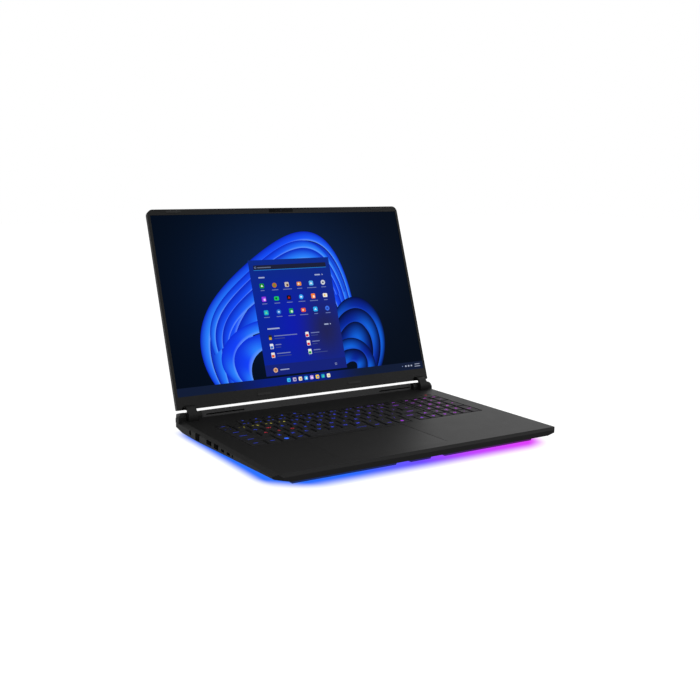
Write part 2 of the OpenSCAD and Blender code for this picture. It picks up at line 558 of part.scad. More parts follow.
module lid_bumpers() {
  color([0.03, 0.03, 0.03]) in_lid() two_sides() {
    slab(150, screen_h + 3, 172, screen_h + 6, 1.4, 0, 0.6);
    slab(60, -10, 82, -7, 1.4, 0, 0.6);
  }
}
module antennas() { color([0.7, 0.55, 0.3]) in_lid() two_sides() box([60, screen_h + 1.6, -4.6], [120, screen_h + 6, -3.9]); }

top_case();
rear_cover();
bottom_cover();
light_bar_front();
light_bar_sides();
front_feet();
rear_feet();
bottom_screws();
keyboard_plate();
key_domes();
mainboard();
processor_chips();
heat_spreader();
heat_pipes();
heatsink_fins();
fan_housing_left();
fan_housing_right();
fan_rotor_left();
fan_rotor_right();
battery_pack();
ssd_modules();
memory_modules();
wifi_card();
speakers();
touchpad();
touchpad_frame();
dc_socket();
lan_socket();
hdmi_socket();
usb_a_socket_left();
usb_c_sockets();
audio_jack();
usb_a_sockets_right();
hinge_bracket_left();
hinge_bracket_right();
hinge_pin_left();
hinge_pin_right();
hinge_arm_left();
hinge_arm_right();
hinge_knuckle_left();
hinge_knuckle_right();
lid_cover();
bezel_frame();
display_panel();
camera_module();
camera_window();
lid_bumpers();
antennas();
hot_keys();
function_row();
power_button();
number_row();
upper_letter_row();
home_letter_row();
lower_letter_row();
modifier_keys();
space_bar();
arrow_keys();
numpad_keys();
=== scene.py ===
import bpy, bmesh, math, random
from mathutils import Vector, Matrix


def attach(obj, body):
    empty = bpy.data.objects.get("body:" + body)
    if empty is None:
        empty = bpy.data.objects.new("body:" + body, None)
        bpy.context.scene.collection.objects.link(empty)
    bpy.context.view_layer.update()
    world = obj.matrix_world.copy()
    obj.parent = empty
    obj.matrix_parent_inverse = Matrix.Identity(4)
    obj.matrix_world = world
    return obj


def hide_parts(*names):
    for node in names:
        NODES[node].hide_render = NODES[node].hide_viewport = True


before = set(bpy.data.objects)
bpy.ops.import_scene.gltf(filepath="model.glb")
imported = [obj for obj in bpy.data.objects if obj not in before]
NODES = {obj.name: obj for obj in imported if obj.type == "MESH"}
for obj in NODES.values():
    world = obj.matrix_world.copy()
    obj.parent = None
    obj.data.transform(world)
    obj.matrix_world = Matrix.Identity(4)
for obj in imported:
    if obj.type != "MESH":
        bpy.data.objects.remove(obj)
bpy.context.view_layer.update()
scene = bpy.context.scene
MM = 0.001
Y0 = 0.0962725          # section origin in the row frame
Z0 = 0.0235
PIC_Z = 0.0278
LID_A = math.radians(70.6)
BASE = Matrix.Translation((0, Y0, Z0))
LID = Matrix.Translation((0, Y0, Z0 + PIC_Z)) @ Matrix.Rotation(LID_A, 4, "X")
rng = random.Random(7)


# ------------------------------------------------------------ camera
def look():
    yaw, pitch, roll = math.radians(31.83), math.radians(10.03), math.radians(0.24)
    fwd = Vector((math.sin(yaw) * math.cos(pitch), math.cos(yaw) * math.cos(pitch), -math.sin(pitch)))
    right = Vector((math.cos(yaw), -math.sin(yaw), 0))
    up = right.cross(fwd)
    r2 = math.cos(roll) * right + math.sin(roll) * up
    u2 = -math.sin(roll) * right + math.cos(roll) * up
    cam = bpy.data.cameras.new("camera")
    ob = bpy.data.objects.new("camera", cam)
    scene.collection.objects.link(ob)
    m = Matrix((r2, u2, -fwd)).transposed().to_4x4()
    m.translation = Vector((-0.64320, -1.0445375, 0.32762))
    ob.matrix_world = m
    cam.sensor_width = 36
    cam.sensor_fit = "HORIZONTAL"
    cam.lens = 966.1 / 700 * 36
    cam.clip_start = 0.01
    cam.clip_end = 50
    scene.camera = ob
    return ob


camera = look()

# ------------------------------------------------------------ colour handling
scene.view_settings.view_transform = "Standard"
scene.view_settings.look = "None"
scene.view_settings.exposure = 0
scene.view_settings.gamma = 1


def lin(c):
    """0-255 screen colour to linear"""
    out = []
    for v in c:
        v = v / 255.0
        out.append(v / 12.92 if v <= 0.04045 else ((v + 0.055) / 1.055) ** 2.4)
    return out


# ------------------------------------------------------------ node helpers
def new_mat(name):
    m = bpy.data.materials.new(name)
    m.use_nodes = True
    nt = m.node_tree
    nt.nodes.clear()
    out = nt.nodes.new("ShaderNodeOutputMaterial")
    b = nt.nodes.new("ShaderNodeBsdfPrincipled")
    nt.links.new(b.outputs[0], out.inputs[0])
    return m, nt, b


def node(nt, kind, **kw):
    n = nt.nodes.new(kind)
    for k, v in kw.items():
        setattr(n, k, v)
    return n


def noise(nt, vec, scale, detail=3, rough=0.55, dist=0):
    n = node(nt, "ShaderNodeTexNoise")
    n.inputs["Scale"].default_value = scale
    n.inputs["Detail"].default_value = detail
    n.inputs["Roughness"].default_value = rough
    n.inputs["Distortion"].default_value = dist
    nt.links.new(vec, n.inputs["Vector"])
    return n.outputs["Fac"]


def ramp(nt, fac, stops, interp="LINEAR"):
    n = node(nt, "ShaderNodeValToRGB")
    n.color_ramp.interpolation = interp
    els = n.color_ramp.elements
    while len(els) < len(stops):
        els.new(0.5)
    for e, (p, c) in zip(els, stops):
        e.position = p
        e.color = (*c, 1) if len(c) == 3 else c
    nt.links.new(fac, n.inputs[0])
    return n.outputs[0]


def rng_map(nt, fac, a, b, c, d, smooth=False):
    n = node(nt, "ShaderNodeMapRange")
    if smooth:
        n.interpolation_type = "SMOOTHSTEP"
    for k, v in zip(("From Min", "From Max", "To Min", "To Max"), (a, b, c, d)):
        n.inputs[k].default_value = v
    nt.links.new(fac, n.inputs["Value"])
    return n.outputs["Result"]


def math_n(nt, op, a, b=None, clamp=False):
    n = node(nt, "ShaderNodeMath", operation=op, use_clamp=clamp)
    for i, v in enumerate((a, b)):
        if v is None:
            continue
        if isinstance(v, (int, float)):
            n.inputs[i].default_value = v
        else:
            nt.links.new(v, n.inputs[i])
    return n.outputs[0]


def mixc(nt, fac, a, b, mode="MIX"):
    n = node(nt, "ShaderNodeMix", data_type="RGBA", blend_type=mode)
    for s, v in ((n.inputs[0], fac), (n.inputs[6], a), (n.inputs[7], b)):
        if isinstance(v, (int, float)):
            s.default_value = v
        elif isinstance(v, (tuple, list)):
            s.default_value = (*v, 1) if len(v) == 3 else v
        else:
            nt.links.new(v, s)
    return n.outputs[2]


def objvec(nt):
    return node(nt, "ShaderNodeTexCoord").outputs["Object"]


def scaled(nt, vec, s):
    n = node(nt, "ShaderNodeMapping")
    n.inputs["Scale"].default_value = s
    nt.links.new(vec, n.inputs["Vector"])
    return n.outputs[0]


def bump(nt, b, height, strength, dist):
    n = node(nt, "ShaderNodeBump")
    n.inputs["Strength"].default_value = strength
    n.inputs["Distance"].default_value = dist
    nt.links.new(height, n.inputs["Height"])
    nt.links.new(n.outputs[0], b.inputs["Normal"])
    return n


def plastic(name, dark, light, rough, grain=2600, spec=0.35, bump_s=0.25, var=0.05, sheen=0.0, coat=0.0):
    """Moulded or painted black plastic: fine grain, slow tone drift and faint handling marks."""
    m, nt, b = new_mat(name)
    v = objvec(nt)
    slow = noise(nt, v, 14, 2)
    fine = noise(nt, v, grain, 2, 0.6)
    col = ramp(nt, math_n(nt, "ADD", math_n(nt, "MULTIPLY", slow, 0.5), math_n(nt, "MULTIPLY", fine, 0.5)),
               [(0.3, dark), (0.7, light)])
    nt.links.new(col, b.inputs["Base Color"])
    mid = noise(nt, v, 45, 4, 0.65, 0.4)
    r = rng_map(nt, mid, 0.3, 0.7, rough - var, rough + var)
    nt.links.new(r, b.inputs["Roughness"])
    bump(nt, b, fine, bump_s, 0.00006)
    b.inputs["Specular IOR Level"].default_value = spec
    if sheen:
        b.inputs["Sheen Weight"].default_value = sheen
        b.inputs["Sheen Roughness"].default_value = 0.5
    if coat:
        b.inputs["Coat Weight"].default_value = coat
        b.inputs["Coat Roughness"].default_value = 0.2
    return m


def metal(name, dark, light, rough, stretch=(1, 40, 40), grain=260, metallic=1.0, spec=0.5, bump_s=0.12):
    m, nt, b = new_mat(name)
    v = objvec(nt)
    s = scaled(nt, v, stretch)
    br = noise(nt, s, grain, 3, 0.6)
    slow = noise(nt, v, 10, 2)
    col = ramp(nt, math_n(nt, "ADD", math_n(nt, "MULTIPLY", br, 0.5), math_n(nt, "MULTIPLY", slow, 0.5)), [(0.3, dark), (0.7, light)])
    nt.links.new(col, b.inputs["Base Color"])
    nt.links.new(rng_map(nt, br, 0.3, 0.7, rough - 0.05, rough + 0.06), b.inputs["Roughness"])
    bump(nt, b, br, bump_s, 0.00004)
    b.inputs["Metallic"].default_value = metallic
    b.inputs["Specular IOR Level"].default_value = spec
    return m


def g(v):
    return (v, v, v * 1.02)


M = {}
M["deck"] = plastic("soft_black", g(0.0052), g(0.0064), 0.44, 2600, 0.10, 0.18, 0.012)
M["rear"] = plastic("rear_black", g(0.028), g(0.034), 0.46, 1900, 0.15, 0.25, 0.02)
M["under"] = plastic("under_black_painted_glow", g(0.005), g(0.008), 0.55, 900, 0.12, 0.4)
M["lid"] = metal("lid_anodised", g(0.010), g(0.017), 0.40, (1, 30, 1), 220, 0.35, 0.25, 0.08)
M["bezel"] = plastic("bezel_black", g(0.0048), g(0.0064), 0.48, 3200, 0.12, 0.15, 0.02)
M["knuckle"] = plastic("knuckle_black", g(0.0060), g(0.0085), 0.42, 2200, 0.10, 0.25)
M["rubber"] = plastic("foot_rubber", g(0.010), g(0.017), 0.8, 1500, 0.2, 0.6)
M["screw"] = metal("screw_black", g(0.05), g(0.10), 0.38, (1, 1, 1), 900)
M["steel"] = metal("steel", g(0.28), g(0.40), 0.34, (1, 25, 25), 300)
M["silicone"] = plastic("silicone", (0.50, 0.52, 0.55), (0.62, 0.64, 0.66), 0.5, 700, 0.4, 0.1)
M["board"] = plastic("solder_mask", (0.006, 0.045, 0.022), (0.012, 0.075, 0.04), 0.4, 420, 0.5, 0.3)
M["chip"] = plastic("moulded_chip", g(0.018), g(0.028), 0.42, 900, 0.5, 0.2)
M["copper"] = metal("copper", (0.55, 0.24, 0.12), (0.70, 0.34, 0.18), 0.32, (1, 18, 18), 260)
M["fins"] = metal("fin_aluminium", g(0.55), g(0.70), 0.35, (20, 1, 20), 300)
M["fan"] = plastic("fan_plastic", g(0.018), g(0.028), 0.5, 1200, 0.4, 0.2)
M["battery"] = plastic("battery_wrap", g(0.014), g(0.022), 0.55, 300, 0.4, 0.15)
M["socket_metal"] = metal("nickel", g(0.05), g(0.09), 0.40, (1, 25, 25), 500)
M["socket_dark"] = plastic("socket_black", g(0.006), g(0.010), 0.5, 1500, 0.25, 0.2)
M["glass"] = plastic("camera_glass", g(0.0012), g(0.0018), 0.10, 80, 0.03, 0.0, 0.01)
M["foil"] = metal("antenna_foil", (0.45, 0.33, 0.14), (0.6, 0.45, 0.2), 0.35, (1, 1, 1), 200)
M["pad"] = plastic("touch_surface", g(0.0062), g(0.0074), 0.43, 3600, 0.10, 0.08, 0.01)


def glow_colour(nt, x):
    """blue on the left to violet to magenta on the right"""
    return ramp(nt, rng_map(nt, x, -0.2, 0.2, 0, 1), [(0.0, lin((44, 116, 255))), (0.30, lin((44, 106, 255))),
                (0.52, lin((112, 78, 255))), (0.72, lin((196, 70, 255))), (1.0, lin((232, 62, 250)))])


def light_bar(name, strength):
    m, nt, b = new_mat(name)
    v = objvec(nt)
    sx = node(nt, "ShaderNodeSeparateXYZ")
    nt.links.new(v, sx.inputs[0])
    hue = glow_colour(nt, sx.outputs[0])
    cell = noise(nt, v, 60, 2)
    nt.links.new(mixc(nt, 0.6, hue, (0.6, 0.6, 0.65)), b.inputs["Base Color"])
    nt.links.new(hue, b.inputs["Emission Color"])
    nt.links.new(rng_map(nt, cell, 0.3, 0.7, strength * 0.85, strength * 1.1), b.inputs["Emission Strength"])
    b.inputs["Roughness"].default_value = 0.45
    return m


def ribs_painted_bar_glow():
    """painted glow: the ribs' front faces emit a little of the light bar's colour, standing in for light from the
    light bar that sits behind them
    """
    nt = M["under"].node_tree
    b = next(n for n in nt.nodes if n.type == "BSDF_PRINCIPLED")
    sx = node(nt, "ShaderNodeSeparateXYZ")
    nt.links.new(objvec(nt), sx.inputs[0])
    nt.links.new(glow_colour(nt, sx.outputs[0]), b.inputs["Emission Color"])
    # front: mask of the rib faces near the front that get the painted glow
    front = rng_map(nt, sx.outputs[1], Y0 - 0.250, Y0 - 0.258, 0.0, 0.11, True)
    nt.links.new(front, b.inputs["Emission Strength"])


ribs_painted_bar_glow()
M["bar"] = light_bar("light_diffuser", 1.6)

ASSIGN = {
    "deck": ["top_case", "keyboard_plate"], "rear": ["rear_cover"], "under": ["bottom_cover"], "bar": ["light_bar_front", "light_bar_sides"],
    "rubber": ["front_feet", "rear_feet", "lid_bumpers"], "screw": ["bottom_screws"], "steel": ["touchpad_frame",
    "hinge_bracket_left", "hinge_bracket_right", "hinge_pin_left", "hinge_pin_right", "hinge_arm_left", "hinge_arm_right"],
    "silicone": ["key_domes"], "board": ["mainboard", "wifi_card", "ssd_modules"], "chip": ["processor_chips", "memory_modules"],
    "copper": ["heat_spreader", "heat_pipes"], "fins": ["heatsink_fins"], "fan": ["fan_housing_left", "fan_housing_right",
    "fan_rotor_left", "fan_rotor_right"], "battery": ["battery_pack", "speakers"], "pad": ["touchpad"],
    "socket_metal": ["hdmi_socket", "usb_a_socket_left", "usb_c_sockets", "usb_a_sockets_right"],
    "socket_dark": ["dc_socket", "lan_socket", "audio_jack", "camera_module"], "knuckle": ["hinge_knuckle_left", "hinge_knuckle_right"],
    "lid": ["lid_cover"], "bezel": ["bezel_frame"], "glass": ["camera_window"], "foil": ["antennas"], "deck2": [],
}
for key, names in ASSIGN.items():
    for n in names:
        o = NODES[n]
        o.data.materials.clear()
        o.data.materials.append(M[key])


def soften(name, width, seg=2, angle=35):
    """rounds a CAD piece's edges with modifiers only"""
    o = NODES[name]
    w = o.modifiers.new("weld", "WELD")
    w.merge_threshold = 0.00001
    b = o.modifiers.new("bevel", "BEVEL")
    b.width = width
    b.segments = seg
    b.limit_method = "ANGLE"
    b.angle_limit = math.radians(angle)
    b.use_clamp_overlap = True
    b.harden_normals = False


for n, w in (("front_feet", 0.0006), ("rear_feet", 0.0006), ("lid_bumpers", 0.0002), ("touchpad", 0.00025), ("display_panel", 0.0001)):
    soften(n, w)


# ------------------------------------------------------------ mesh helpers
def obj_from(name, verts, faces, mat, mw=None, cols=None, smooth=False, mats=None, fmat=None):
    me = bpy.data.meshes.new(name)
    me.from_pydata([tuple(v) for v in verts], [], faces)
    if mats:
        for m in mats:
            me.materials.append(m)
        if fmat:
            me.polygons.foreach_set("material_index", fmat)
    else:
        me.materials.append(mat)
    if cols is not None:
        at = me.color_attributes.new("tint", "FLOAT_COLOR", "POINT")
        flat = []
        for c in cols:
            flat += [c[0], c[1], c[2], c[3] if len(c) > 3 else 1.0]
        at.data.foreach_set("color", flat)
    if smooth:
        me.polygons.foreach_set("use_smooth", [True] * len(me.polygons))
    me.update()
    o = bpy.data.objects.new(name, me)
    scene.collection.objects.link(o)
    if mw is not None:
        o.matrix_world = mw
    return o


# ------------------------------------------------------------ keys
PX, PY, XL, XR, GAP = 18.67, 18.43, -170.75, 104.9, 2.4
ROW = [-81, -99.43, -117.86, -136.29, -154.72]
NUMX = [117, 132.8, 148.6, 164.4]


def run(x0, n, y):
    return [(x0 + (i + 0.5) * PX, y, PX, PY) for i in range(n)]


def span(a, b, y):
    return ((a + b) / 2, y, b - a, PY)


K = {
    "number_row": run(XL, 13, ROW[0]) + [span(XL + 13 * PX, XR, ROW[0])],
    "upper_letter_row": [span(XL, XL + 1.5 * PX, ROW[1])] + run(XL + 1.5 * PX, 12, ROW[1]) + [span(XL + 13.5 * PX, XR, ROW[1])],
    "home_letter_row": [span(XL, XL + 1.75 * PX, ROW[2])] + run(XL + 1.75 * PX, 11, ROW[2]) + [span(XL + 12.75 * PX, XR, ROW[2])],
    "lower_letter_row": [span(XL, XL + 2.25 * PX, ROW[3])] + run(XL + 2.25 * PX, 10, ROW[3]) + [span(XL + 12.25 * PX, 88.36, ROW[3])],
    "modifier_keys": [span(XL, XL + 1.25 * PX, ROW[4])] + run(XL + 1.25 * PX, 3, ROW[4])
    + [(9.85 + i * PX, ROW[4], PX, PY) for i in range(2)] + [span(37.85, 58, ROW[4])],
    "space_bar": [span(XL + 4.25 * PX, 0.5, ROW[4])],
    "arrow_keys": [(97.7, ROW[3], PX, PY), (79, ROW[4], PX, PY), (97.7, ROW[4], PX, PY), (116.4, ROW[4], PX, PY)],
    "numpad_keys": [(x, ROW[0], 15.8, PY) for x in NUMX] + [(NUMX[i], ROW[r], 15.8, PY) for r in (1, 2) for i in range(3)]
    + [(NUMX[i], ROW[3], 15.8, PY) for i in range(3)] + [(NUMX[i], ROW[4], 15.8, PY) for i in (1, 2)]
    + [(NUMX[3], (ROW[1] + ROW[2]) / 2, 15.8, 2 * PY), (NUMX[3], (ROW[3] + ROW[4]) / 2, 15.8, 2 * PY)],
    "function_row": [(XL + 8.9, -66, 17.8, 11.5)] + [(-129.9 + q * 76 + i * 17.3, -66, 17.3, 11.5) for q in range(3) for i in range(4)]
    + [(94.9, -66, 20, 11.5)] + [(x, -66, 15.8, 11.5) for x in NUMX],
    "hot_keys": [(-127.5 + i * 18.9, -51, 18.2, 10.4) for i in range(5)],
    "power_button": [(161.6, -50.4, 16.6, 10.4)],
}


def hue(x):
    """legend colour by place, linear"""
    stops = [(-175, (30, 66, 235)), (-60, (34, 72, 250)), (10, (62, 64, 250)), (60, (118, 50, 240)), (105, (170, 46, 225)), (175, (205, 40, 215))]
    for (a, ca), (b, cb) in zip(stops, stops[1:]):
        if x <= b:
            t = max(0, (x - a) / (b - a))
            la, lb = lin(ca), lin(cb)
            return [la[i] * (1 - t) + lb[i] * t for i in range(3)]
    return lin(stops[-1][1])


YEL, RED, WIN, VIO = lin((200, 190, 60)), lin((205, 30, 52)), lin((24, 96, 255)), lin((176, 20, 232))


def ring(w, h, r, z, dy=0.0, n=5):
    pts = []
    for cx, cy, a0 in ((w / 2 - r, h / 2 - r, 0), (-w / 2 + r, h / 2 - r, 90), (-w / 2 + r, -h / 2 + r, 180), (w / 2 - r, -h / 2 + r, 270)):
        for i in range(n + 1):
            a = math.radians(a0 + 90 * i / n)
            pts.append((cx + r * math.cos(a), cy + r * math.sin(a) + dy, z))
    return pts


def cap(verts, faces, cols, k, tint):
    """one dished cap: skirt, shoulder, rounded rim, shallow dish, hollow underside"""
    w, h = k[2] - GAP, k[3] - GAP
    small = h < 10
    prof = [(1.3, 1.2, -0.95, 0.9), (1.25, 1.25, -2.15, 0.9), (0.12, 0.12, -2.2, 0.9), (0.0, 0.0, -2.05, 1.0), (0.0, 0.0, -0.85, 1.0),
            (0.1, 0.1, -0.70, 1.0), (0.46, 0.42, -0.62, 1.1), (0.56, 0.50, -0.45, 1.15), (0.64, 0.58, -0.02, 1.2), (0.74, 0.68, 0.12, 1.2),
            (0.95, 0.90, 0.19, 1.2), (1.3, 1.25, 0.185, 1.2), (2.6, 2.4, 0.10, 1.6), (4.4, 3.6, 0.05, 1.6)]
    if small:
        prof[-1] = (3.6, 3.1, 0.07, 0.9)
    base = len(verts)
    loops = []
    for ix, iy, z, r in prof:
        ww, hh = w - 2 * ix, h - 2 * iy
        rr = max(0.15, min(r, ww / 2 - 0.05, hh / 2 - 0.05))
        loops.append(ring(ww, hh, rr, z))
    n = len(loops[0])
    for L in loops:
        for p in L:
            x, y = k[0] + p[0], k[1] + p[1]
            verts.append((x * MM, y * MM, p[2] * MM))
            # alpha 1 marks the cap's upper part, which gets the painted backlight glow; 0 marks the skirt and
            # underside
            cols.append((*tint, 1.0 if p[2] > -0.5 else 0.0))
    for j in range(len(loops) - 1):
        for i in range(n):
            a, b2 = base + j * n + i, base + j * n + (i + 1) % n
            faces.append((a, b2, b2 + n, a + n))
    c = len(verts)
    verts.append((k[0] * MM, k[1] * MM, (0.03 if not small else 0.06) * MM))
    cols.append((*tint, 1.0))
    last = base + (len(loops) - 1) * n
    for i in range(n):
        faces.append((last + i, last + (i + 1) % n, c))
    c2 = len(verts)
    verts.append((k[0] * MM, k[1] * MM, -0.95 * MM))
    cols.append((*tint, 0.0))
    for i in range(n):
        faces.append((base + (i + 1) % n, base + i, c2))


def cap_material():
    m, nt, b = new_mat("key_coat_painted_glow")
    v = objvec(nt)
    fine = noise(nt, v, 3000, 2, 0.6)
    slow = noise(nt, v, 30, 3)
    nt.links.new(ramp(nt, slow, [(0.3, g(0.0042)), (0.7, g(0.0062))]), b.inputs["Base Color"])
    nt.links.new(rng_map(nt, noise(nt, v, 120, 3, 0.6), 0.3, 0.7, 0.50, 0.60), b.inputs["Roughness"])
    bump(nt, b, fine, 0.2, 0.00005)
    b.inputs["Specular IOR Level"].default_value = 0.12
    # painted glow: the cap's upper part emits a faint backlight colour from the tint attribute
    at = node(nt, "ShaderNodeAttribute", attribute_name="tint")
    nt.links.new(at.outputs["Color"], b.inputs["Emission Color"])
    nt.links.new(rng_map(nt, at.outputs["Alpha"], 0, 1, 0.0, 0.0012), b.inputs["Emission Strength"])
    return m


def legend_material():
    m, nt, b = new_mat("lit_legend")
    v = objvec(nt)
    at = node(nt, "ShaderNodeAttribute", attribute_name="tint")
    nt.links.new(mixc(nt, 0.75, at.outputs["Color"], (0.03, 0.03, 0.04)), b.inputs["Base Color"])
    nt.links.new(at.outputs["Color"], b.inputs["Emission Color"])
    nt.links.new(rng_map(nt, noise(nt, v, 900, 2), 0.3, 0.7, 0.62, 0.80), b.inputs["Emission Strength"])
    b.inputs["Roughness"].default_value = 0.6
    b.inputs["Specular IOR Level"].default_value = 0.08
    return m


CAP, LEG = cap_material(), legend_material()
_glyph = {}


def glyph(ch):
    """flat outline of one plain character, centred, 1 high"""
    if ch not in _glyph:
        cu = bpy.data.curves.new("glyph", "FONT")
        cu.body = ch
        cu.size = 1.0
        cu.resolution_u = 3
        cu.offset = 0.012
        o = bpy.data.objects.new("glyph", cu)
        scene.collection.objects.link(o)
        bpy.context.view_layer.update()
        me = bpy.data.meshes.new_from_object(o)
        vs = [tuple(v.co) for v in me.vertices]
        fs = [tuple(p.vertices) for p in me.polygons]
        bpy.data.objects.remove(o)
        bpy.data.curves.remove(cu)
        bpy.data.meshes.remove(me)
        x0, x1 = min(v[0] for v in vs), max(v[0] for v in vs)
        y0, y1 = min(v[1] for v in vs), max(v[1] for v in vs)
        s = 1 / max(y1 - y0, 0.66)
        _glyph[ch] = ([((v[0] - (x0 + x1) / 2) * s, (v[1] - (y0 + y1) / 2) * s) for v in vs], fs)
    return _glyph[ch]


class Flat:
    """collects flat shapes with a colour each"""

    def __init__(self):
        self.v, self.f, self.c = [], [], []

    def poly(self, pts, z, col, cols=None):
        b = len(self.v)
        for i, p in enumerate(pts):
            self.v.append((p[0] * MM, p[1] * MM, z * MM))
            self.c.append(cols[i] if cols else col)
        self.f.append(tuple(range(b, b + len(pts))))

    def rect(self, x, y, w, h, z, col, r=0.0, n=4):
        if r <= 0:
            self.poly([(x - w / 2, y - h / 2), (x + w / 2, y - h / 2), (x + w / 2, y + h / 2), (x - w / 2, y + h / 2)], z, col)
        else:
            self.poly([(x + p[0], y + p[1]) for p in ring(w, h, min(r, w / 2 - 0.01, h / 2 - 0.01), 0, n=n)], z, col)

    def disc(self, x, y, r, z, col, n=20):
        self.poly([(x + r * math.cos(2 * math.pi * i / n), y + r * math.sin(2 * math.pi * i / n)) for i in range(n)], z, col)

    def tri(self, x, y, s, a, z, col):
        self.poly([(x + s * math.cos(a + t), y + s * math.sin(a + t)) for t in (0, 2.094, 4.189)], z, col)

    def char(self, ch, x, y, size, z, col, wide=1.0):
        vs, fs = glyph(ch)
        b = len(self.v)
        for p in vs:
            self.v.append(((x + p[0] * size * wide) * MM, (y + p[1] * size) * MM, z * MM))
            self.c.append(col)
        for q in fs:
            self.f.append(tuple(b + i for i in q))

    def frame(self, x, y, w, h, t, z, col):
        self.rect(x, y + h / 2 - t / 2, w, t, z, col)
        self.rect(x, y - h / 2 + t / 2, w, t, z, col)
        self.rect(x - w / 2 + t / 2, y, t, h - 2 * t, z, col)
        self.rect(x + w / 2 - t / 2, y, t, h - 2 * t, z, col)


ZL = 0.16


def legends(group, keys):
    F = Flat()

    def dim(c, s):
        return [q * s for q in c]

    def word(x, y, n, c, h=1.7, step=2.0):
        """a short word, drawn as one plain bar"""
        w = n * step
        F.rect(x, y, w, h * 0.62, ZL, c, 0.3)

    rows = {"number_row": "`1234567890-=", "upper_letter_row": "QWERTYUIOP[]\\", "home_letter_row": "ASDFGHJKL;'", "lower_letter_row": "ZXCVBNM,./"}
    for i, k in enumerate(keys):
        x, y, w, h = k
        c = hue(x)
        if group == "number_row":
            if i < 13:
                cc = YEL if 1 <= i <= 4 else c
                F.char(rows[group][i], x + 2.6, y - 0.6, 3.9, ZL, cc, 1.2)
                F.char("~!@#$%^&*()_+"[i], x - 3.4, y + 0.2, 3.0, ZL, dim(cc, 0.55))
            else:
                word(x, y, 5, c)
        elif group == "upper_letter_row":
            if i == 0:
                word(x - 3, y, 4, dim(c, 0.8))
            elif i <= 13:
                ch = rows[group][i - 1]
                F.char(ch, x, y, 3.9, ZL, RED if ch == "W" else c, 1.2)
        elif group == "home_letter_row":
            if i == 0:
                word(x - 4, y, 5, dim(c, 0.8))
            elif i <= 11:
                ch = rows[group][i - 1]
                F.char(ch, x, y, 3.9, ZL, RED if ch in "ASD" else c, 1.2)
            else:
                word(x, y, 5, c)
        elif group == "lower_letter_row":
            if i == 0:
                word(x - 8, y, 4, dim(c, 0.8))
            elif i <= 10:
                F.char(rows[group][i - 1], x, y, 3.9, ZL, c, 1.2)
            else:
                word(x, y, 5, c)
        elif group == "modifier_keys":
            if i == 2:
                F.disc(x, y, 3.0, ZL, WIN, 24)
            elif i == 6:
                F.disc(x, y, 2.2, ZL, VIO, 24)
            else:
                word(x - (1 if i == 0 else 0), y, 3, dim(c, 0.8))
        elif group == "space_bar":
            F.rect(x + 32, y - 0.2, 15, 0.75, ZL, dim(c, 0.6), 0.3)
        elif group == "arrow_keys":
            F.tri(x, y, 2.9, [math.pi / 2, math.pi, -math.pi / 2, 0][i], ZL, c)
        elif group == "numpad_keys":
            order = ["", "/", "*", "-", "7", "8", "9", "4", "5", "6", "1", "2", "3", "0", ".", "+", ""]
            ch = order[i]
            if ch:
                F.char(ch, x, y, 4.3 if ch in "0123456789" else 3.4, ZL, [q * 1.25 for q in c], 1.35)
            else:
                word(x, y, 3, c)
        elif group == "function_row":
            if i == 0:
                word(x, y, 3, dim(c, 0.75), 1.4)
            elif i <= 12:
                F.rect(x - 2.6, y, 3.6, 1.15, ZL, dim(c, 0.7), 0.3)
                F.disc(x + 3.2, y, 0.95, ZL, dim(c, 0.6), 10)
            else:
                F.rect(x, y, 4.6, 1.3, ZL, [q * 1.1 for q in c], 0.3)
        elif group == "hot_keys":
            if i == 0:
                F.tri(x, y, 1.8, -math.pi / 2, ZL, c)
            elif i == 1:
                F.tri(x, y, 1.8, math.pi / 2, ZL, c)
            elif i == 2:
                F.rect(x, y, 3.2, 1.4, ZL, c, 0.5)
            elif i == 3:
                F.disc(x, y, 1.4, ZL, c, 12)
            else:
                F.frame(x, y, 3.4, 3.0, 0.6, ZL, c)
        elif group == "power_button":
            F.rect(x, y + 0.4, 0.6, 2.0, ZL, RED)
            n = 14
            for j in range(n):
                a0, a1 = math.radians(115 + 310 * j / n), math.radians(115 + 310 * (j + 1) / n)
                F.poly([(x + r * math.cos(a), y - 0.2 + r * math.sin(a)) for r, a in ((1.35, a0), (1.9, a0), (1.9, a1), (1.35, a1))], ZL, RED)
    if not F.v:
        return None
    # each shape lies flat at ZL, just above the cap's dish
    return F


for group, keys in K.items():
    vs, fs, cs = [], [], []
    for k in keys:
        t = hue(k[0])
        # numpad caps get four times the painted backlight glow
        cap_glow_boost = 1.0
        if group == "numpad_keys":
            cap_glow_boost = 4.0
        cap(vs, fs, cs, k, [q * cap_glow_boost for q in t])
    o = obj_from("caps_" + group, vs, fs, CAP, BASE, cs, smooth=True)
    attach(o, group)
    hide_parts(group)
    F = legends(group, keys)
    if F:
        o2 = obj_from("legends_" + group, F.v, F.f, LEG, BASE, F.c)
        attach(o2, group)

# ------------------------------------------------------------ screen
SW, SH = 387.7, 242.3


def screen_material(name, base_dark=0.0, rough=0.38, spec=0.01):
    """lit picture behind a matte film: colour from the shapes, a faint pixel grain"""
    m, nt, b = new_mat(name)
    v = objvec(nt)
    at = node(nt, "ShaderNodeAttribute", attribute_name="tint")
    gr = noise(nt, v, 2500, 1)
    b.inputs["Base Color"].default_value = (base_dark, base_dark, base_dark * 1.3, 1)
    nt.links.new(at.outputs["Color"], b.inputs["Emission Color"])
    nt.links.new(rng_map(nt, gr, 0.2, 0.8, 0.97, 1.03), b.inputs["Emission Strength"])
    nt.links.new(rng_map(nt, gr, 0.2, 0.8, rough - 0.03, rough + 0.03), b.inputs["Roughness"])
    b.inputs["Specular IOR Level"].default_value = spec
    return m


SCR = screen_material("screen_picture")
NODES["display_panel"].data.materials.clear()
NODES["display_panel"].data.materials.append(plastic("panel_black", g(0.003), g(0.005), 0.4, 1500, 0.3, 0.05))


def lerp(a, b, t):
    return [a[i] * (1 - t) + b[i] * t for i in range(3)]


